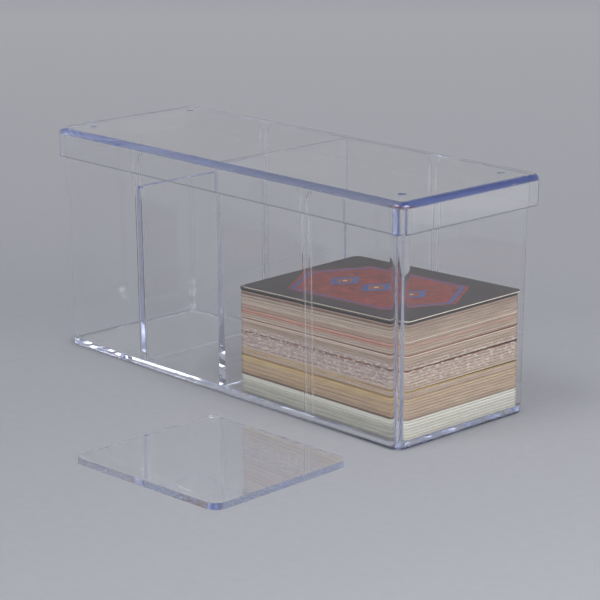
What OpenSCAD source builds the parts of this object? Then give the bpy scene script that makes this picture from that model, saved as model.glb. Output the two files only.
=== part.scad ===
// Clear moulded card box with a lift-off lid, a fixed middle partition,
// two slide-in dividers and a deck of loose cards lying in the right half.
// The front of the box faces -Y, the length runs along X and +Z is up.
// The origin is the middle of the tray's underside, where the box rests.

/* [Cards] */
// Length of one card, along the box
card_length = 88; // [70:0.5:100]
// Width of one card, across the box
card_width = 63; // [50:0.5:75]
// Thickness of one card
card_t = 0.305; // [0.25:0.005:0.36]
// Air left between one card and the next
card_air = 0.01; // [0.005:0.005:0.03]
// Corner radius of a card
card_r = 3.2; // [2:0.1:5]
// Bundles in the deck below the top card
bundle_count = 13; // [4:1:16]
// Cards in one bundle
bundle_cards = 11; // [6:1:13]
// Most that a card has slipped along the box
card_slip_x = 0.2; // [0:0.05:0.4]
// Most that a card has slipped across the box, as a share of the card gap
card_slip_y = 0.15; // [0:0.05:0.2]
// How far the deck lies to the back, as a share of the card gap
deck_back = 0.6; // [0:0.05:0.75]

/* [Tray] */
// Height of the tray from its underside to its rim
tray_h = 90.4; // [85:0.1:110]
// Thickness of the walls
wall = 1.6; // [1.4:0.05:2.2]
// Thickness of the floor
floor_t = 2.9; // [1.5:0.1:4]
// Draft angle of every wall, in degrees
draft = 0.7; // [0.3:0.05:0.9]
// Radius of the outside upright corners at the base
outside_r = 4.2; // [3:0.1:5]
// Radius of the inside upright corners at the floor
inside_r = 0.2; // [0.1:0.05:2]
// Rounding along the outside of the base
base_r = 1.2; // [0.5:0.1:2]
// Room left for a finger at one end of the cards
finger_room = 5.6; // [4:0.05:12]
// Gap between the cards and the rails beside them
card_gap = 0.5; // [0.3:0.05:1.5]
// Gap between the cards and the end wall
deck_gap = 0.1; // [0.05:0.05:1]
// Film of air left where one piece rests on another
seat_gap = 0.05; // [0.02:0.01:0.2]
// Thickness of the middle partition at its top
partition_t = 1.8; // [1.2:0.1:2.5]

/* [Rails] */
// How far a rail stands out from the wall
rail_d = 0.8; // [0.6:0.05:1.5]
// Width of one rail of a pair
rail_w = 0.75; // [0.6:0.05:1.2]
// Height of the flared lead-in at the top of a rail
lead_h = 3.4; // [2:0.1:6]
// How far the lead-in opens on each side
lead_w = 1.35; // [0.5:0.05:1.5]
// Distance from the rim down to the top of the rails
rail_drop = 1; // [0.5:0.1:3]

/* [Dividers] */
// Thickness of a divider
divider_t = 2.5; // [1.5:0.1:3]
// Height of a divider
divider_h = 72.5; // [60:0.1:78]
// Radius of a divider's upper corners
divider_top_r = 2.1; // [1:0.1:4]
// Radius of a divider's lower corners
divider_foot_r = 5; // [1:0.1:8]
// Gap between a divider and the wall at each end
divider_gap = 0.2; // [0.1:0.05:0.4]
// Spare width of a slot over the divider's thickness
slot_gap = 0.3; // [0.2:0.05:0.6]
// Distance from the tray's front to the loose divider
loose_gap = 23.4; // [15:0.1:60]
// Distance from the box's middle to the loose divider's middle
loose_x = 60.6; // [-60:0.1:65]
// Turn of the loose divider on the table, in degrees
loose_turn = 2.3; // [-10:0.1:10]

/* [Lid] */
// Height of the lid outside
lid_h = 12; // [8:0.1:20]
// Thickness of the lid's top plate
lid_top = 2.6; // [1.2:0.1:3]
// Thickness of the lid's skirt
lid_wall = 1.6; // [1:0.1:2]
// Gap between the lid and the tray's rim
lid_gap = 0.65; // [0.3:0.05:1]
// How far the lid rests to the right, as a share of that gap
lid_right = 0.75; // [0:0.05:0.8]
// How far the lid rests to the back, as a share of that gap
lid_back = 0.8; // [0:0.05:0.8]
// Radius of the lid's outside upright corners
lid_outer_r = 5.2; // [4:0.1:6]
// Radius of the lid's inside upright corners
lid_inner_r = 1.4; // [1:0.1:3]
// Rounding along the lid's top edge
lid_r = 2.6; // [1:0.1:2.8]
// Rounding of the skirt's lower edges
skirt_r = 0.4; // [0.2:0.05:0.6]
// Distance from the lid's sides to the middle of a corner dimple
dimple_inset = 11.5; // [8:0.5:20]
// Diameter of a dimple in the lid's plate
dimple_d = 3.4; // [2:0.1:5]
// Depth of a dimple
dimple_h = 0.5; // [0.2:0.05:0.8]

/* [Hidden] */
$fn = 64;
slope = tan(draft);
cut = 1;
sides = [-1, 1];

// A length to the nearest hundredth, so that neighbouring solids share their faces
function snap(length) = round(100 * length) / 100;

// Inside of one half of the tray at the floor, and half of it in each direction
card_room = card_length + 2 * card_slip_x;
bay_length = finger_room + card_room + deck_gap;
bay_depth = card_width + 2 * (card_gap + rail_d);
partition_base = snap(partition_t + 2 * slope * (tray_h - floor_t));
bay_x = snap((bay_length + partition_base) / 2);

// Half of the tray's inside at the floor, of its outside at the base and of its rim
inside_half_x = snap(bay_x + bay_length / 2);
inside_half_y = snap(bay_depth / 2);
base_half_x = snap(inside_half_x + wall - slope * floor_t);
base_half_y = snap(inside_half_y + wall - slope * floor_t);
rim_half_x = snap(base_half_x + slope * tray_h);
rim_half_y = snap(base_half_y + slope * tray_h);

// The slots between the rails
slot_w = divider_t + slot_gap;
rail_top = tray_h - rail_drop;
rail_foot = floor_t / 2;
lead_r = (lead_h * lead_h + lead_w * lead_w) / (2 * lead_w);

// The lid
lid_half_x = rim_half_x + lid_gap + lid_wall;
lid_half_y = rim_half_y + lid_gap + lid_wall;
plate_z = tray_h + seat_gap;
lid_z = plate_z + lid_top;
skirt_z = lid_z - lid_h;
dimple_ball_r = (dimple_d * dimple_d / 4 + dimple_h * dimple_h) / (2 * dimple_h);

// The deck lies against the right end of the right half, nearer the back
deck_x = inside_half_x - deck_gap - card_room / 2;
deck_y = deck_back * card_gap;
slip_y = card_slip_y * card_gap;
card_pitch = card_t + card_air;
deck_cards = bundle_count * bundle_cards;

// Half the inside depth at a height above the table
function inside_y(z) = inside_half_y + slope * (z - floor_t);

// Name of a bundle, counted from the bottom
function bundle_name(i) = str("card_bundle_", i < 10 ? "0" : "", i);

// Place of a card's middle: each one has slipped a little its own way
function card_slip(i) = [card_slip_x * sin(97 * i), slip_y * sin(61 * i + 20)];

// Carries a profile of radius and height round a rectangle with corners of a radius
module around(outer_x, outer_y, corner_r, bottom, top) {
    half_x = outer_x - corner_r;
    half_y = outer_y - corner_r;
    for (i = [0 : 3]) {
        side_x = i == 0 || i == 3 ? 1 : -1;
        side_y = i < 2 ? 1 : -1;
        translate([side_x * half_x, side_y * half_y, 0])
            rotate([0, 0, 90 * i])
                rotate_extrude(angle = 90) children();
    }
    for (turn = [0, 180]) {
        rotate([0, 0, turn]) translate([half_x, 0, 0])
            rotate([90, 0, 0]) linear_extrude(2 * half_y, center = true) children();
        rotate([0, 0, turn + 90]) translate([half_y, 0, 0])
            rotate([90, 0, 0]) linear_extrude(2 * half_x, center = true) children();
    }
    translate([-half_x, -half_y, bottom]) cube([2 * half_x, 2 * half_y, top - bottom]);
}

// Outside of a wall: rounded at the base and leaning out to the rim
module outside_profile() {
    base_line_r = outside_r + slope * base_r;
    polygon([[0, base_r], [base_line_r, base_r], [outside_r + slope * tray_h, tray_h], [0, tray_h]]);
    square([base_line_r - base_r, base_r]);
    translate([base_line_r - base_r, base_r]) circle(base_r);
}

// Inside of a wall: leaning out from the floor to above the rim
module inside_profile() {
    top = tray_h + cut;
    polygon([[0, floor_t], [inside_r, floor_t], [inside_r + slope * (top - floor_t), top], [0, top]]);
}

// The partition seen along Y: it thins towards the rim
module partition_front() {
    foot = floor_t / 2;
    foot_half = partition_t / 2 + slope * (tray_h - foot);
    polygon([[-foot_half, foot], [foot_half, foot], [partition_t / 2, tray_h], [-partition_t / 2, tray_h]]);
}

// The partition seen along X: it is rooted in both long walls
module partition_side() {
    root = wall / 2;
    foot = floor_t / 2;
    foot_half = inside_y(foot) + root;
    top_half = inside_y(tray_h) + root;
    polygon([[-foot_half, foot], [foot_half, foot], [top_half, tray_h], [-top_half, tray_h]]);
}

module partition() {
    reach = inside_y(tray_h) + wall;
    intersection() {
        rotate([90, 0, 0]) linear_extrude(2 * reach, center = true) partition_front();
        rotate([90, 0, 90]) linear_extrude(2 * partition_base, center = true) partition_side();
    }
}

// One rail seen along Y: a thin rib that curves away from the slot at the top
module rail_front() {
    straight_top = rail_top - lead_h;
    translate([slot_w / 2, rail_foot]) square([rail_w, straight_top - rail_foot]);
    intersection() {
        translate([slot_w / 2, straight_top]) square([lead_r, lead_h]);
        translate([slot_w / 2 + lead_r, straight_top]) difference() {
            circle(lead_r);
            circle(lead_r - rail_w);
        }
    }
}

// One rail seen along X: it leans with the wall and is rooted in it
module rail_side() {
    root = wall / 2;
    polygon([
        [inside_y(rail_foot) - rail_d, rail_foot],
        [inside_y(rail_foot) + root, rail_foot],
        [inside_y(rail_top) + root, rail_top],
        [inside_y(rail_top) - rail_d, rail_top]
    ]);
}

module rail() {
    span = slot_w / 2 + lead_r;
    reach = inside_y(rail_top) + wall;
    intersection() {
        rotate([90, 0, 0]) translate([0, 0, -reach]) linear_extrude(reach) rail_front();
        rotate([90, 0, 90]) linear_extrude(span) rail_side();
    }
}

// The four rails of one slot, two on each long wall
module slot_rails() {
    for (turn_x = [0, 1], turn_y = [0, 1])
        mirror([turn_x, 0, 0]) mirror([0, turn_y, 0]) rail();
}

module tray() {
    color([0.86, 0.89, 0.94, 0.35]) {
        difference() {
            around(base_half_x, base_half_y, outside_r, 0, tray_h) outside_profile();
            around(inside_half_x, inside_half_y, inside_r, floor_t, tray_h + cut) inside_profile();
        }
        partition();
        for (side = sides) translate([side * bay_x, 0, 0]) slot_rails();
    }
}

// The lid's outside, rounded along its top edge and a little along its lower edge
module lid_profile() {
    edge_z = lid_z - lid_r;
    hem_z = skirt_z + skirt_r;
    translate([0, hem_z]) square([lid_outer_r, edge_z - hem_z]);
    translate([0, skirt_z]) square([lid_outer_r - skirt_r, skirt_r]);
    translate([lid_outer_r - skirt_r, hem_z]) circle(skirt_r);
    translate([0, edge_z]) square([lid_outer_r - lid_r, lid_r]);
    translate([lid_outer_r - lid_r, edge_z]) circle(lid_r);
}

// The lid's hollow, which widens round the skirt's lower edge
module lid_hollow() {
    translate([0, skirt_z - cut]) square([lid_inner_r, plate_z - skirt_z + cut]);
    difference() {
        translate([0, skirt_z - cut]) square([lid_inner_r + skirt_r, skirt_r + cut]);
        translate([lid_inner_r + skirt_r, skirt_z + skirt_r]) circle(skirt_r);
    }
}

// The lid rests a little off its middle, as far as its gap round the rim lets it
module lid() {
    dimple_x = lid_half_x - dimple_inset;
    dimple_y = lid_half_y - dimple_inset;
    dimple_z = lid_z - dimple_h + dimple_ball_r;
    color([0.86, 0.89, 0.94, 0.35]) translate([lid_right * lid_gap, lid_back * lid_gap, 0])
        difference() {
            around(lid_half_x, lid_half_y, lid_outer_r, skirt_z, lid_z) lid_profile();
            around(lid_half_x - lid_wall, lid_half_y - lid_wall, lid_inner_r, skirt_z - cut, plate_z) lid_hollow();
            for (side_x = sides, side_y = sides)
                translate([side_x * dimple_x, side_y * dimple_y, dimple_z]) sphere(dimple_ball_r);
        }
}

// A divider's outline: as wide as the inside at each height, with rounded corners
module divider_outline() {
    foot_half = inside_y(floor_t) - divider_gap;
    low_z = divider_foot_r;
    high_z = divider_h - divider_top_r;
    low = [foot_half + slope * low_z - divider_foot_r / cos(draft), low_z];
    high = [foot_half + slope * high_z - divider_top_r / cos(draft), high_z];
    lean = [cos(draft), -sin(draft)];
    low_side = low + divider_foot_r * lean;
    high_side = high + divider_top_r * lean;
    for (turn = [0, 1]) mirror([turn, 0, 0]) {
        polygon([[0, 0], [low.x, 0], low_side, high_side, [high.x, divider_h], [0, divider_h]]);
        translate(low) circle(divider_foot_r);
        translate(high) circle(divider_top_r);
    }
}

module divider_left() {
    color([0.84, 0.87, 0.93, 0.4])
        translate([-bay_x - divider_t / 2, 0, floor_t + seat_gap])
            rotate([90, 0, 90]) linear_extrude(divider_t) divider_outline();
}

module divider_loose() {
    middle_y = -base_half_y - loose_gap - inside_y(floor_t + divider_h / 2);
    color([0.84, 0.87, 0.93, 0.4])
        translate([loose_x, middle_y, 0]) rotate([0, 0, loose_turn + 90])
            translate([0, -divider_h / 2, 0]) linear_extrude(divider_t) divider_outline();
}

module card_outline() {
    half_x = card_length / 2 - card_r;
    half_y = card_width / 2 - card_r;
    square([card_length, 2 * half_y], center = true);
    square([2 * half_x, card_width], center = true);
    for (side_x = sides, side_y = sides)
        translate([side_x * half_x, side_y * half_y]) circle(card_r);
}

// The card at a place in the deck, counted from the bottom
module card(i) {
    slip = card_slip(i);
    translate([deck_x + slip.x, deck_y + slip.y, floor_t + seat_gap + i * card_pitch])
        linear_extrude(card_t) card_outline();
}

module card_bundle(i) {
    color([0.78, 0.72, 0.63])
        for (k = [0 : bundle_cards - 1]) card((i - 1) * bundle_cards + k);
}

module top_card() {
    color([0.45, 0.2, 0.18]) card(deck_cards);
}

tray();
lid();
divider_left();
divider_loose();
for (i = [1 : bundle_count])
    card_bundle(i);
top_card();
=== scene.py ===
import math

import bpy
import numpy
from mathutils import Matrix, Vector


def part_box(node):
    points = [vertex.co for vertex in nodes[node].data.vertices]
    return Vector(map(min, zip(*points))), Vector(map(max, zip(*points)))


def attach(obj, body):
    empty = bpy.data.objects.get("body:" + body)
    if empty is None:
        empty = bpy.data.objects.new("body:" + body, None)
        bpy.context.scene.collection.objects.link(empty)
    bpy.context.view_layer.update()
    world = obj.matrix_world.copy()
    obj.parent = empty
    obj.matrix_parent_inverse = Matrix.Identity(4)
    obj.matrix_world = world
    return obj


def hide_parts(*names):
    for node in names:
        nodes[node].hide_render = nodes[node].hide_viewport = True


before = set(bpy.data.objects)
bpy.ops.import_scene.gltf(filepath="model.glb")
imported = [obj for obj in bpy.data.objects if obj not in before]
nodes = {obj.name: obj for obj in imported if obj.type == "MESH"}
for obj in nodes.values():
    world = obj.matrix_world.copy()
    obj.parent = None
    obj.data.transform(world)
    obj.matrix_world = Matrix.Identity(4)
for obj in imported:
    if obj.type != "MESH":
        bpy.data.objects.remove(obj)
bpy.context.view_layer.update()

scene = bpy.context.scene
WHITE = (1, 1, 1, 1)

# Camera, found by fitting the box's edges in the photograph

CAMERA_PLACE = Vector((0.63067, -0.57658, 0.26436))
CAMERA_YAW = -0.8234
CAMERA_PITCH = 0.2661
CAMERA_ROLL = -0.0053
FRAME_PIXELS = 600
FOCAL_PIXELS = 2217.5
SENSOR_MM = 36
CLIP_START = 0.01


def make_camera():
    forward = Vector((
        math.cos(CAMERA_PITCH) * math.sin(CAMERA_YAW),
        math.cos(CAMERA_PITCH) * math.cos(CAMERA_YAW),
        -math.sin(CAMERA_PITCH),
    ))
    level = Vector((math.cos(CAMERA_YAW), -math.sin(CAMERA_YAW), 0))
    upright = level.cross(forward)
    right = math.cos(CAMERA_ROLL) * level + math.sin(CAMERA_ROLL) * upright
    up = math.cos(CAMERA_ROLL) * upright - math.sin(CAMERA_ROLL) * level
    turn = Matrix((right, up, -forward)).transposed()
    data = bpy.data.cameras.new("camera")
    data.sensor_width = SENSOR_MM
    data.lens = FOCAL_PIXELS * SENSOR_MM / FRAME_PIXELS
    data.clip_start = CLIP_START
    camera = bpy.data.objects.new("camera", data)
    camera.matrix_world = Matrix.Translation(CAMERA_PLACE) @ turn.to_4x4()
    scene.collection.objects.link(camera)
    scene.camera = camera


# Materials

class Shader:
    """A material's node tree, with short calls to add and join nodes."""

    def __init__(self, name):
        self.material = bpy.data.materials.new(name)
        self.material.use_nodes = True
        self.tree = self.material.node_tree
        self.tree.nodes.clear()
        self.output = self.add("ShaderNodeOutputMaterial")

    def add(self, kind, **settings):
        node = self.tree.nodes.new(kind)
        for key, value in settings.items():
            if key in node.inputs:
                node.inputs[key].default_value = value
            else:
                setattr(node, key, value)
        return node

    def join(self, source, target):
        self.tree.links.new(source, target)

    def math(self, operation, first, second=None, clamp=False):
        node = self.add("ShaderNodeMath", operation=operation, use_clamp=clamp)
        for socket, value in zip(node.inputs, (first, second)):
            if value is None:
                continue
            if isinstance(value, (int, float)):
                socket.default_value = value
            else:
                self.join(value, socket)
        return node.outputs[0]

    def band(self, value, low, high):
        """1 where the value lies between two limits, 0 elsewhere."""
        above = self.math("GREATER_THAN", value, low)
        below = self.math("LESS_THAN", value, high)
        return self.math("MULTIPLY", above, below)

    def mix(self, factor, first, second, blend="MIX"):
        node = self.add("ShaderNodeMix", data_type="RGBA", blend_type=blend)
        for socket, value in zip((node.inputs[0], node.inputs[6], node.inputs[7]), (factor, first, second)):
            if isinstance(value, (int, float, tuple)):
                socket.default_value = value
            else:
                self.join(value, socket)
        return node.outputs[2]

    def noise(self, place, scale, detail=3.0, distortion=0.0):
        node = self.add("ShaderNodeTexNoise", Scale=scale, Detail=detail, Distortion=distortion)
        self.join(place, node.inputs["Vector"])
        return node.outputs["Fac"]

    def object_place(self, scale=(1, 1, 1), location=(0, 0, 0)):
        """Places on the object, scaled and then shifted."""
        coordinates = self.add("ShaderNodeTexCoord")
        mapping = self.add("ShaderNodeMapping", Scale=scale, Location=location)
        self.join(coordinates.outputs["Object"], mapping.inputs["Vector"])
        return mapping.outputs[0]


def linear(red, green, blue):
    """An sRGB colour, 0 to 255, as Blender's linear colour."""
    def channel(value):
        value /= 255
        if value <= 0.04045:
            return value / 12.92
        return ((value + 0.055) / 1.055) ** 2.4
    return (channel(red), channel(green), channel(blue), 1)


# Clear plastic: densities per metre, lengths in metres

CLEAR_IOR = 1.57
CLEAR_TINT = (0.6, 0.67, 0.88, 1)
CLEAR_DENSITY = 13
TRAY_DENSITY = 4.5
CLEAR_SHADOW = (0.982, 0.984, 0.99, 1)
RIPPLE_SCALE = 45.0
RIPPLE_DEPTH = 0.00002
EDGE_ROUND = 0.0003
EDGE_STEPS = 2
EDGE_ANGLE = 50
EDGE_FACING = 0.8
FACE_ROUGH = 0.01
EDGE_ROUGH = 0.09
EDGE_BUMP_SCALE = 300.0
EDGE_BUMP_DEPTH = 0.0003
# Painted shade on the tray's foot: its lower edge is painted dark below the cards.
FOOT_HALF = (0.0964, 0.0332)
FOOT_HEIGHT = 0.0014
FOOT_BLEND = 0.0004
FOOT_PAINTED_SHADE = (0.03, 0.035, 0.06, 1)
# Painted shade on the lid: a dark line along its lower outer edge.
LIP_SHARE = 0.045
LIP_PAINTED_SHADE = (0.62, 0.64, 0.7, 1)
RIM_HEIGHT = 0.0034
RIM_SHADOW = (0.15, 0.16, 0.2, 1)
# Where the foot's painted shade starts, under the cards.
DECK_START = 0.0
DECK_BLEND = 0.08


def foot_rim(shader, split, height):
    """1 round the tray's outside up to a height, 0 elsewhere."""
    outside = []
    for axis, half in zip("XY", FOOT_HALF):
        outside.append(shader.math("SUBTRACT", shader.math("ABSOLUTE", split.outputs[axis]), half))
    rim = shader.math("DIVIDE", shader.math("MAXIMUM", *outside), FOOT_BLEND, True)
    low = shader.math("DIVIDE", shader.math("SUBTRACT", height, split.outputs["Z"]), FOOT_BLEND, True)
    return shader.math("MULTIPLY", rim, low)


def foot_painted_shade_and_rim_shadow(shader):
    """The foot's painted shade, a dark lower edge below the cards where the deck keeps light off the table
    under it, and the light that its thick rim keeps off the table.
    """
    split = shader.add("ShaderNodeSeparateXYZ")
    shader.join(shader.object_place(), split.inputs[0])
    # Painted shade: the foot's lower edge is darkened from DECK_START on, under the cards.
    deck = shader.math("DIVIDE", shader.math("SUBTRACT", split.outputs["X"], DECK_START), DECK_BLEND, True)
    painted_foot_shade = shader.math("MULTIPLY", foot_rim(shader, split, FOOT_HEIGHT), deck)
    edge = shader.mix(painted_foot_shade, WHITE, FOOT_PAINTED_SHADE)
    return edge, shader.mix(foot_rim(shader, split, RIM_HEIGHT), CLEAR_SHADOW, RIM_SHADOW)


def painted_lip_line(shader):
    """White, but with a painted shade along the lid's lower edge where it looks outwards, standing in for
    the light that this edge throws aside.
    """
    coordinates = shader.add("ShaderNodeTexCoord")
    place = shader.add("ShaderNodeSeparateXYZ")
    shader.join(coordinates.outputs["Generated"], place.inputs[0])
    facing = shader.add("ShaderNodeSeparateXYZ")
    shader.join(coordinates.outputs["Normal"], facing.inputs[0])
    shares = []
    for axis in "XY":
        from_middle = shader.math("SUBTRACT", place.outputs[axis], 0.5)
        shares.append(shader.math("MULTIPLY", from_middle, facing.outputs[axis]))
    # The lower band that looks outwards is painted darker: painted shade.
    outward = shader.math("GREATER_THAN", shader.math("ADD", *shares), 0.0)
    low = shader.math("LESS_THAN", place.outputs["Z"], LIP_SHARE)
    return shader.mix(shader.math("MULTIPLY", low, outward), WHITE, LIP_PAINTED_SHADE)


def edge_mask(shader, axis):
    """1 on a plate's cut edges, 0 on its two faces, which look along the axis."""
    coordinates = shader.add("ShaderNodeTexCoord")
    split = shader.add("ShaderNodeSeparateXYZ")
    shader.join(coordinates.outputs["Normal"], split.inputs[0])
    return shader.math("LESS_THAN", shader.math("ABSOLUTE", split.outputs[axis]), EDGE_FACING)


def clear_plastic(name, density, foot=False, lip=False, edge_axis=None):
    """Clear tinted plastic. Lamps and diffuse light pass straight through it with a fixed loss, more at the
    tray's rim. The tray's foot and the lid's lower edge can get a painted shade.
    """
    shader = Shader(name)
    glass = shader.add("ShaderNodeBsdfPrincipled")
    glass.inputs["Base Color"].default_value = WHITE
    glass.inputs["Roughness"].default_value = FACE_ROUGH
    glass.inputs["IOR"].default_value = CLEAR_IOR
    glass.inputs["Transmission Weight"].default_value = 1
    # The lid's lower outer edge gets a painted shade line.
    if lip:
        shader.join(painted_lip_line(shader), glass.inputs["Base Color"])
    ripple = shader.add("ShaderNodeBump", Strength=1.0, Distance=RIPPLE_DEPTH)
    shader.join(shader.noise(shader.object_place(), RIPPLE_SCALE, 1.0), ripple.inputs["Height"])
    normal = ripple.outputs[0]
    if edge_axis:
        edge = edge_mask(shader, edge_axis)
        roughness = shader.math("ADD", shader.math("MULTIPLY", edge, EDGE_ROUGH), FACE_ROUGH)
        shader.join(roughness, glass.inputs["Roughness"])
        rough = shader.add("ShaderNodeBump", Distance=EDGE_BUMP_DEPTH)
        shader.join(edge, rough.inputs["Strength"])
        shader.join(shader.noise(shader.object_place(), EDGE_BUMP_SCALE, 2.0), rough.inputs["Height"])
        shader.join(normal, rough.inputs["Normal"])
        normal = rough.outputs[0]
    shader.join(normal, glass.inputs["Normal"])
    passing = shader.add("ShaderNodeBsdfTransparent")
    passing.inputs["Color"].default_value = CLEAR_SHADOW
    if foot:
        # The tray's foot: a painted shade in the glass colour below the cards, and a darker shadow through
        # its rim.
        edge, shade = foot_painted_shade_and_rim_shadow(shader)
        shader.join(edge, glass.inputs["Base Color"])
        shader.join(shade, passing.inputs["Color"])
    path = shader.add("ShaderNodeLightPath")
    lit = shader.math("MAXIMUM", path.outputs["Is Shadow Ray"], path.outputs["Is Diffuse Ray"])
    mix = shader.add("ShaderNodeMixShader")
    shader.join(lit, mix.inputs[0])
    shader.join(glass.outputs[0], mix.inputs[1])
    shader.join(passing.outputs[0], mix.inputs[2])
    shader.join(mix.outputs[0], shader.output.inputs["Surface"])
    volume = shader.add("ShaderNodeVolumeAbsorption")
    volume.inputs["Color"].default_value = CLEAR_TINT
    volume.inputs["Density"].default_value = density
    shader.join(volume.outputs[0], shader.output.inputs["Volume"])
    return shader.material


def soften_edges(target):
    """Round a plate's sharp edges a little."""
    edges = target.modifiers.new("soft_edges", "BEVEL")
    edges.width = EDGE_ROUND
    edges.segments = EDGE_STEPS
    edges.limit_method = "ANGLE"
    edges.angle_limit = math.radians(EDGE_ANGLE)


# Stage and light

FLOOR_HALF = 4
FLOOR_DROP = 0.0001
FLOOR_ROUGH = 0.9
FLECK_SCALE = 220.0
FLOOR_GREY = (0.364, 0.371, 0.403, 1)
FLOOR_FLECK = (0.334, 0.341, 0.373, 1)
# Painted light: the floor is painted lighter further behind the box, making up for the lamps falling off
# there.
FLOOR_FAR_PAINTED_LIGHT = (0.735, 0.74, 0.78, 1)
FAR_START = 0.15
FAR_SPAN = 1.3
WORLD_TINT = (0.985, 0.99, 1.04)
WORLD_RAMP = ((0, 0.37), (0.4, 0.37), (0.55, 0.29), (1, 0.29))
CLEAR_BOUNCES = 512
PASSING_BOUNCES = 64
# Each lamp's name, place, aim, size and radiance
LAMPS = (
    ("lamp_right", (1.16, -0.1, 1.05), (0.05, 0, 0.05), (0.8, 0.7), 7.2),
    ("lamp_side", (0.62, -0.16, 0.36), (0.05, 0, 0.03), (0.6, 0.5), 1.9),
    ("lamp_front", (-0.25, -1.35, 1.35), (0, 0, 0.05), (1.0, 0.8), 4.7),
    ("lamp_low", (0.345, 0.235, 0.03), (0.1, 0.01, 0.03), (0.5, 0.06), 0.28),
)


def make_stage():
    mesh = bpy.data.meshes.new("stage_floor")
    signs = ((-1, -1), (1, -1), (1, 1), (-1, 1))
    corners = [(FLOOR_HALF * x, FLOOR_HALF * y, -FLOOR_DROP) for x, y in signs]
    mesh.from_pydata(corners, [], [(0, 1, 2, 3)])
    floor = bpy.data.objects.new("stage_floor", mesh)
    scene.collection.objects.link(floor)
    shader = Shader("stage_grey")
    body = shader.add("ShaderNodeBsdfPrincipled", Roughness=FLOOR_ROUGH)
    fleck = shader.noise(shader.object_place(), FLECK_SCALE, 4.0)
    split = shader.add("ShaderNodeSeparateXYZ")
    shader.join(shader.object_place(), split.inputs[0])
    # Painted light: the floor's colour grows lighter further back.
    back = shader.math("SUBTRACT", split.outputs["Y"], split.outputs["X"])
    painted_far_light = shader.math("DIVIDE", shader.math("SUBTRACT", back, FAR_START), FAR_SPAN, True)
    grey = shader.mix(fleck, FLOOR_GREY, FLOOR_FLECK)
    shader.join(shader.mix(painted_far_light, grey, FLOOR_FAR_PAINTED_LIGHT), body.inputs["Base Color"])
    shader.join(body.outputs[0], shader.output.inputs["Surface"])
    mesh.materials.append(shader.material)


def make_lamp(name, place, aim, size, radiance):
    data = bpy.data.lights.new(name, "AREA")
    data.shape = "RECTANGLE"
    data.size, data.size_y = size
    data.energy = radiance * math.pi * size[0] * size[1]
    lamp = bpy.data.objects.new(name, data)
    lamp.location = place
    lamp.rotation_euler = (Vector(aim) - Vector(place)).to_track_quat("-Z", "Y").to_euler()
    lamp.visible_camera = False
    scene.collection.objects.link(lamp)


def make_world():
    world = bpy.data.worlds.new("world")
    world.use_nodes = True
    tree = world.node_tree
    place = tree.nodes.new("ShaderNodeTexCoord")
    split = tree.nodes.new("ShaderNodeSeparateXYZ")
    ramp = tree.nodes.new("ShaderNodeValToRGB")
    steps = ramp.color_ramp.elements
    while len(steps) < len(WORLD_RAMP):
        steps.new(0.5)
    for step, (position, level) in zip(steps, WORLD_RAMP):
        step.position = position
    # Colours come second, since a step that is moved may change places
    for step, (position, level) in zip(steps, WORLD_RAMP):
        step.color = [level * channel for channel in WORLD_TINT] + [1]
    back = tree.nodes["Background"]
    tree.links.new(place.outputs["Generated"], split.inputs[0])
    tree.links.new(split.outputs["Z"], ramp.inputs[0])
    tree.links.new(ramp.outputs[0], back.inputs[0])
    scene.world = world


def make_light():
    make_world()
    for lamp in LAMPS:
        make_lamp(*lamp)
    scene.view_settings.view_transform = "Standard"
    scene.cycles.max_bounces = CLEAR_BOUNCES
    scene.cycles.transmission_bounces = CLEAR_BOUNCES
    scene.cycles.glossy_bounces = CLEAR_BOUNCES
    scene.cycles.transparent_max_bounces = PASSING_BOUNCES


# Cards: each one is a thin bowed sheet, and the deck is lower at its left end

CARD_LENGTH = 0.088
CARD_WIDTH = 0.063
CARD_CORNER = 0.0032
CARD_THICK = 0.00028
DECK_GRID = (5, 8, 6)
TOP_GRID = (8, 16, 12)
BUNDLES = 13
BUNDLE_CARDS = 11
DECK_CARDS = BUNDLES * BUNDLE_CARDS
ALL_CARDS = DECK_CARDS + 1
DIP_FRONT_LEFT = 0.0035
DIP_BACK_LEFT = 0.0024
DIP_FRONT_RIGHT = 0.0004
GROUP_CARDS = 7
GROUP_GAP = 8
WIDE_GAPS = (0.41, 0.58, 0.7)
WIDE_GAP = 26
SLIP_ALONG = 0.0002
SLIP_ACROSS = 0.0001
SLIP_TURNS = (97, 61)
SLIP_START = 20
SECOND_CARD_SLIP = -0.0007
TOP_CARD_SLIP = (0.0007, 0.0005)
TOP_CARD_RISE = 0.00006


def chance(index, salt):
    """A number from 0 to 1 that looks random and is the same on every run."""
    value = math.sin(index * 12.9898 + salt * 78.233) * 43758.5453
    return value - math.floor(value)


def card_grid(corner_steps, length_steps, width_steps):
    """Places over a card from end to end, as columns that follow its rounded corners."""
    half_length = CARD_LENGTH / 2
    half_width = CARD_WIDTH / 2
    columns = []
    for step in range(corner_steps + 1):
        angle = math.pi / 2 * step / corner_steps
        along = half_length - CARD_CORNER + CARD_CORNER * math.cos(angle)
        across = half_width - CARD_CORNER + CARD_CORNER * math.sin(angle)
        columns.append((along, across))
    straight = half_length - CARD_CORNER
    for step in range(1, length_steps):
        columns.append((straight * (1 - 2 * step / length_steps), half_width))
    columns += [(-along, across) for along, across in reversed(columns[:corner_steps + 1])]
    shares = numpy.linspace(-1, 1, width_steps + 1)
    along = numpy.array([[column[0]] * len(shares) for column in columns])
    across = numpy.array([column[1] * shares for column in columns])
    return along, across


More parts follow.
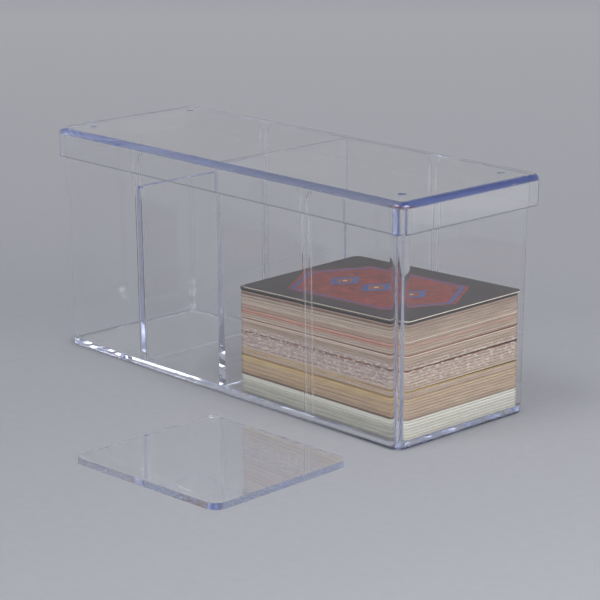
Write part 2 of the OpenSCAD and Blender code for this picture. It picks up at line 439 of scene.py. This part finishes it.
def card_faces(rows, columns):
    """Quads of a closed sheet: its top, its underside and its cut edges, in that order."""
    count = rows * columns
    top = []
    for row in range(rows - 1):
        for column in range(columns - 1):
            first = row * columns + column
            top.append((first, first + 1, first + columns + 1, first + columns))
    under = [tuple(count + corner for corner in reversed(face)) for face in top]
    ring = list(range(columns))
    ring += [row * columns + columns - 1 for row in range(1, rows)]
    ring += [(rows - 1) * columns + column for column in range(columns - 2, -1, -1)]
    ring += [row * columns for row in range(rows - 2, 0, -1)]
    edge = []
    for place, corner in enumerate(ring):
        following = ring[(place + 1) % len(ring)]
        edge.append((following, corner, corner + count, following + count))
    return top, under, edge


def shares_of(along, across):
    """Places as shares of the card's length and width, counted from its front left corner."""
    return along / CARD_LENGTH + 0.5, across / CARD_WIDTH + 0.5


def deck_height(along, across, height):
    """Height of the whole deck over each place: its back right corner stands highest."""
    right, back = shares_of(along, across)
    left_dip = DIP_FRONT_LEFT + (DIP_BACK_LEFT - DIP_FRONT_LEFT) * back
    right_dip = DIP_FRONT_RIGHT * (1 - back)
    return height - left_dip - (right_dip - left_dip) * right


def gap_shares(along, across):
    """Share of the deck's air under each card: the cards part in groups, most of all at the right."""
    right, back = shares_of(along, across)
    opening = numpy.clip(right, 0, 1) ** 3 * (0.4 + 0.6 * back ** 2)
    wide = [round(share * ALL_CARDS) for share in WIDE_GAPS]
    shares = []
    until_gap = 0
    for index in range(ALL_CARDS):
        share = 0.5 + chance(index, 1) + 0 * along
        if until_gap == 0:
            share = share + GROUP_GAP * (0.3 + 0.7 * chance(index, 2)) * (1.2 - right)
            until_gap = 2 + int(chance(index, 3) * GROUP_CARDS)
        until_gap -= 1
        if index in wide:
            share = share + WIDE_GAP * opening
        shares.append(share)
    return numpy.array(shares)


def card_heights(along, across, floor, height):
    """Height of every card's underside over each place of the grid."""
    shares = gap_shares(along, across)
    sums = numpy.cumsum(shares, axis=0) - 0.5 * shares[0]
    total = sums[-1] + 0.5 * shares[0]
    air = deck_height(along, across, height) - ALL_CARDS * CARD_THICK
    counts = numpy.arange(ALL_CARDS).reshape(-1, 1, 1)
    return floor + counts * CARD_THICK + air * sums / total


def card_slip(index):
    """How far a card has slipped along and across the box."""
    along = SLIP_ALONG * math.sin(math.radians(SLIP_TURNS[0] * index))
    across = SLIP_ACROSS * math.sin(math.radians(SLIP_TURNS[1] * index + SLIP_START))
    if index == DECK_CARDS - 1:
        across = SECOND_CARD_SLIP
    return along, across


# Card stocks, by the colour of their cut edges

STOCK_PALE = linear(204, 203, 190)
STOCK_CREAM = linear(238, 236, 222)
STOCK_DARK = linear(130, 106, 86)
STOCK_TAN = linear(188, 162, 130)
STOCK_GOLD = linear(206, 178, 132)
STOCK_OLIVE = linear(154, 126, 80)
STOCK_ROSE = linear(194, 173, 166)
STOCK_BEIGE = linear(192, 170, 152)
STOCK_SAND = linear(196, 178, 160)
STOCK_SALMON = linear(212, 160, 142)
STOCK_BROWN = linear(181, 153, 137)
PALE_STOCKS = (STOCK_PALE, STOCK_CREAM)
# Groups of one stock from the bottom up: cards, stock and how specked their edges are
CARD_GROUPS = (
    (19, STOCK_PALE, 0),
    (5, STOCK_CREAM, 0),
    (3, STOCK_DARK, 0),
    (17, STOCK_TAN, 0),
    (6, STOCK_GOLD, 0),
    (3, STOCK_OLIVE, 0),
    (11, STOCK_BEIGE, 0.2),
    (26, STOCK_ROSE, 0.9),
    (11, STOCK_BEIGE, 0),
    (8, STOCK_SAND, 0),
    (5, STOCK_SALMON, 0),
    (7, STOCK_BROWN, 0),
    (13, STOCK_SAND, 0),
    (10, STOCK_BROWN, 0),
)
# The deck's right end is painted lighter than the front: painted light for the light that falls more on the
# right end.
END_TONE = linear(188, 166, 146)
END_SHARE = 0.65
END_PAINTED_LIGHT = 1.1
END_FALL = 0.28
DARK_EDGE = linear(56, 50, 48)
CREAM_EDGE = linear(238, 226, 208)
RUST_EDGE = linear(158, 84, 56)
RED_EDGE = linear(146, 70, 62)
YELLOW_EDGE = linear(214, 176, 80)
SPECK = linear(236, 222, 208)
LINE_TINTS = ((YELLOW_EDGE, 0), (RUST_EDGE, 1), (CREAM_EDGE, 0))
END_LINE = 0.815
DARK_TOP_CARDS = 4
# Old cards are darker, less so at the right end: that difference is partly painted light.
OLD_CARDS = 0.12
OLD_FRONT = 0.55
OLD_END = 0.84
GROUP_SHADE = 0.8
GROUP_SIZE = 5
# Strength of a colour: its least, and what the group and the single card may add. The right end's least is
# higher than the front's, partly as painted light.
FRONT_STRENGTH = (0.84, 0.28, 0.1)
END_STRENGTH = (0.9, 0.14, 0.06)


def card_group(index):
    """A card's stock and how specked its edges are."""
    for cards, stock, specks in CARD_GROUPS:
        if index < cards:
            return stock, specks
        index -= cards


def end_colour_painted_lighter(stock, share):
    """A stock's colour at the deck's right end: nearer one tone, lifted by painted light, and fainter
    higher up.
    """
    tone = END_TONE
    strength = END_PAINTED_LIGHT - END_FALL * share ** 2
    # Pale stocks are painted cream at the right end, lighter than at the front: painted light and shade
    # between the two sides.
    if stock in PALE_STOCKS:
        tone = STOCK_CREAM
        strength = 1
    return [strength * (own + (goal - own) * END_SHARE) for own, goal in zip(stock[:3], tone[:3])]


def edge_tint(index, right_end):
    """Colour of a card's cut edge, and how specked it is: groups of cards of one stock."""
    share = index / ALL_CARDS
    for gap, (tint, specks) in zip(WIDE_GAPS, LINE_TINTS):
        if index == round(gap * ALL_CARDS) - 1:
            return list(tint[:3]) + [specks]
    if index == round(WIDE_GAPS[-1] * ALL_CARDS):
        return list(RED_EDGE[:3]) + [0]
    if right_end and index == round(END_LINE * ALL_CARDS):
        return list(CREAM_EDGE[:3]) + [0]
    if index >= DECK_CARDS - DARK_TOP_CARDS:
        return list(DARK_EDGE[:3]) + [0]
    stock, specks = card_group(index)
    group = chance(index // GROUP_SIZE, 5)
    # The right end's colour and strengths are painted lighter than the front's: partly painted light.
    if right_end:
        colour = end_colour_painted_lighter(stock, share)
        least, by_group, by_card = END_STRENGTH
        old = OLD_END
    else:
        colour = stock
        least, by_group, by_card = FRONT_STRENGTH
        old = OLD_FRONT
    strength = least + by_group * group + by_card * chance(index, 7)
    if index % GROUP_SIZE == 0 and not right_end:
        strength *= GROUP_SHADE
    if chance(index, 6) < OLD_CARDS and stock not in PALE_STOCKS:
        strength *= old
    return [channel * strength for channel in colour[:3]] + [specks]


EDGE_PAPER_ROUGH = 0.8
STREAK_SCALE = 110.0
STREAK_STRETCH = (1, 1, 30)
STREAK_SHARE = 0.55
DOT_SCALE = 480.0
DOT_STRETCH = (1, 1, 3)
DOT_START = 0.5
DOT_GAIN = 8.0
DOT_SHARE = 0.9


def card_edge_material():
    """Cut edges in each card's own tint, with fine streaks along them and pale specks."""
    shader = Shader("card_edge")
    body = shader.add("ShaderNodeBsdfPrincipled", Roughness=EDGE_PAPER_ROUGH)
    tint = shader.add("ShaderNodeAttribute", attribute_name="edge_tint")
    streak = shader.noise(shader.object_place(STREAK_STRETCH), STREAK_SCALE, 4.0)
    worn = shader.mix(STREAK_SHARE, tint.outputs["Color"], streak, "OVERLAY")
    dots = shader.noise(shader.object_place(DOT_STRETCH), DOT_SCALE, 2.0)
    dots = shader.math("MULTIPLY", shader.math("SUBTRACT", dots, DOT_START), DOT_GAIN, True)
    dots = shader.math("MULTIPLY", dots, shader.math("MULTIPLY", tint.outputs["Alpha"], DOT_SHARE))
    worn = shader.mix(dots, worn, SPECK)
    shader.join(worn, body.inputs["Base Color"])
    shader.join(body.outputs[0], shader.output.inputs["Surface"])
    return shader.material


FACE_PAPER_ROUGH = 0.5
FACE_CLOUD_SCALE = 160.0
BACK_ROUGH = 0.45
BACK_GLOSS = 0.4
BACK_BLACK = linear(34, 30, 30)
BACK_SOOT = linear(48, 41, 38)
BACK_RED = linear(138, 56, 45)
BACK_DARK_RED = linear(90, 38, 33)
BACK_BLUE = linear(58, 74, 122)
BACK_PALE = linear(190, 172, 140)
BACK_BROWN = linear(122, 72, 42)
# The card back's shapes, in millimetres from its middle
MM_PER_METRE = 1000
FIELD_HALF = (40, 23)
FIELD_LEAN = 0.62
FIELD_LINE = (0.9, 0.95)
RHOMB_STEP = 8.5
RHOMB_HALF = (7, 8)
RHOMB_ROW = 24
RHOMB_RINGS = ((0.55, 1, BACK_BLUE), (0.3, 0.55, BACK_BROWN), (-1, 0.16, BACK_PALE))
MARBLE_SCALE = 0.16
MARBLE_SWIRL = 1.6
VEIN_START = 0.36
VEIN_GAIN = 3.2


def card_face_material():
    """The dark faces of the cards under the top one, seen only where a card has slipped."""
    shader = Shader("card_face")
    body = shader.add("ShaderNodeBsdfPrincipled", Roughness=FACE_PAPER_ROUGH)
    cloud = shader.noise(shader.object_place(), FACE_CLOUD_SCALE, 4.0)
    shader.join(shader.mix(cloud, BACK_BLACK, BACK_SOOT), body.inputs["Base Color"])
    shader.join(body.outputs[0], shader.output.inputs["Surface"])
    return shader.material


def card_back_material(middle):
    """A printed back of plain shapes: a red six-sided field, blue lines and three small rhombs."""
    shader = Shader("card_back")
    body = shader.add("ShaderNodeBsdfPrincipled", Roughness=BACK_ROUGH)
    body.inputs["Specular IOR Level"].default_value = BACK_GLOSS
    millimetres = (MM_PER_METRE, MM_PER_METRE, MM_PER_METRE)
    place = shader.object_place(millimetres, tuple(-MM_PER_METRE * value for value in middle))
    split = shader.add("ShaderNodeSeparateXYZ")
    shader.join(place, split.inputs[0])
    along = shader.math("ABSOLUTE", split.outputs["X"])
    across = shader.math("ABSOLUTE", split.outputs["Y"])
    lean = shader.math("ADD", along, shader.math("MULTIPLY", across, FIELD_LEAN))
    ends = shader.math("DIVIDE", lean, FIELD_HALF[0])
    field = shader.math("MAXIMUM", shader.math("DIVIDE", across, FIELD_HALF[1]), ends)
    marble = shader.noise(place, MARBLE_SCALE, 6.0, MARBLE_SWIRL)
    vein = shader.math("MULTIPLY", shader.math("SUBTRACT", marble, VEIN_START), VEIN_GAIN, True)
    ground = shader.mix(marble, BACK_BLACK, BACK_SOOT)
    red = shader.mix(vein, BACK_DARK_RED, BACK_RED)
    colour = shader.mix(shader.math("LESS_THAN", field, 1), ground, red)
    colour = shader.mix(shader.band(field, *FIELD_LINE), colour, BACK_BLUE)
    repeat = shader.math("DIVIDE", shader.math("PINGPONG", along, RHOMB_STEP), RHOMB_HALF[0])
    rhomb = shader.math("ADD", repeat, shader.math("DIVIDE", across, RHOMB_HALF[1]))
    inside = shader.math("LESS_THAN", along, RHOMB_ROW)
    for low, high, tint in RHOMB_RINGS:
        colour = shader.mix(shader.math("MULTIPLY", shader.band(rhomb, low, high), inside), colour, tint)
    shader.join(colour, body.inputs["Base Color"])
    shader.join(body.outputs[0], shader.output.inputs["Surface"])
    return shader.material


def at_right_end(along, face):
    """Whether a face of a card lies at the card's right end."""
    flat = along.ravel()
    return all(flat[corner % len(flat)] > CARD_LENGTH / 2 - CARD_CORNER / 2 for corner in face)


def sheet_points(along, across, heights, middle, slip):
    """Points of a card's top, then of its underside."""
    points = []
    for lift in (CARD_THICK, 0):
        points += zip(
            (along + middle.x + slip[0]).flat, (across + middle.y + slip[1]).flat, (heights + lift).flat
        )
    return [tuple(float(value) for value in point) for point in points]


def make_card_object(name, points, faces, edges, tints, materials):
    """A mesh of whole cards; edges says which of its faces are cut edges."""
    mesh = bpy.data.meshes.new(name)
    mesh.from_pydata(points, [], faces)
    for material in materials:
        mesh.materials.append(material)
    mesh.polygons.foreach_set("material_index", edges)
    layer = mesh.attributes.new("edge_tint", "FLOAT_COLOR", "FACE")
    layer.data.foreach_set("color", [channel for tint in tints for channel in tint])
    mesh.update()
    cards = bpy.data.objects.new(name, mesh)
    scene.collection.objects.link(cards)
    return cards


def make_cards():
    low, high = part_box("card_bundle_01")
    top_low, top_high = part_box("top_card")
    middle = Vector(((top_low.x + top_high.x) / 2, (top_low.y + top_high.y) / 2, top_high.z))
    height = top_high.z - low.z
    edge_material = card_edge_material()
    face_material = card_face_material()
    along, across = card_grid(*DECK_GRID)
    heights = card_heights(along, across, low.z, height)
    top, under, edge = card_faces(*along.shape)
    card = top + under + edge
    for bundle in range(BUNDLES):
        points, faces, edges, tints = [], [], [], []
        for index in range(bundle * BUNDLE_CARDS, (bundle + 1) * BUNDLE_CARDS):
            shift = len(points)
            points += sheet_points(along, across, heights[index], middle, card_slip(index))
            faces += [tuple(corner + shift for corner in face) for face in card]
            edges += [0] * (len(top) + len(under)) + [1] * len(edge)
            front, end = edge_tint(index, False), edge_tint(index, True)
            tints += [end if at_right_end(along, face) else front for face in card]
        number = "%02d" % (bundle + 1)
        materials = (face_material, edge_material)
        cards = make_card_object("cards_" + number, points, faces, edges, tints, materials)
        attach(cards, "deck")
        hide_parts("card_bundle_" + number)
    along, across = card_grid(*TOP_GRID)
    heights = card_heights(along, across, low.z, height)[-1] + TOP_CARD_RISE
    top, under, edge = card_faces(*along.shape)
    card = top + under + edge
    points = sheet_points(along, across, heights, middle, TOP_CARD_SLIP)
    edges = [0] * (len(top) + len(under)) + [1] * len(edge)
    tints = [list(CREAM_EDGE[:3]) + [0]] * len(card)
    back_material = card_back_material(middle)
    cards = make_card_object("card_on_top", points, card, edges, tints, (back_material, edge_material))
    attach(cards, "top_card")
    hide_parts("top_card")


make_camera()
make_stage()
make_light()
# The tray gets a painted shade on its foot.
nodes["tray"].data.materials[0] = clear_plastic("tray_plastic", TRAY_DENSITY, foot=True)
# The lid gets a painted shade line along its lower outer edge.
nodes["lid"].data.materials[0] = clear_plastic("lid_plastic", CLEAR_DENSITY, lip=True)
for name, axis in (("divider_left", "X"), ("divider_loose", "Z")):
    nodes[name].data.materials[0] = clear_plastic(name + "_plastic", CLEAR_DENSITY, edge_axis=axis)
    soften_edges(nodes[name])
make_cards()
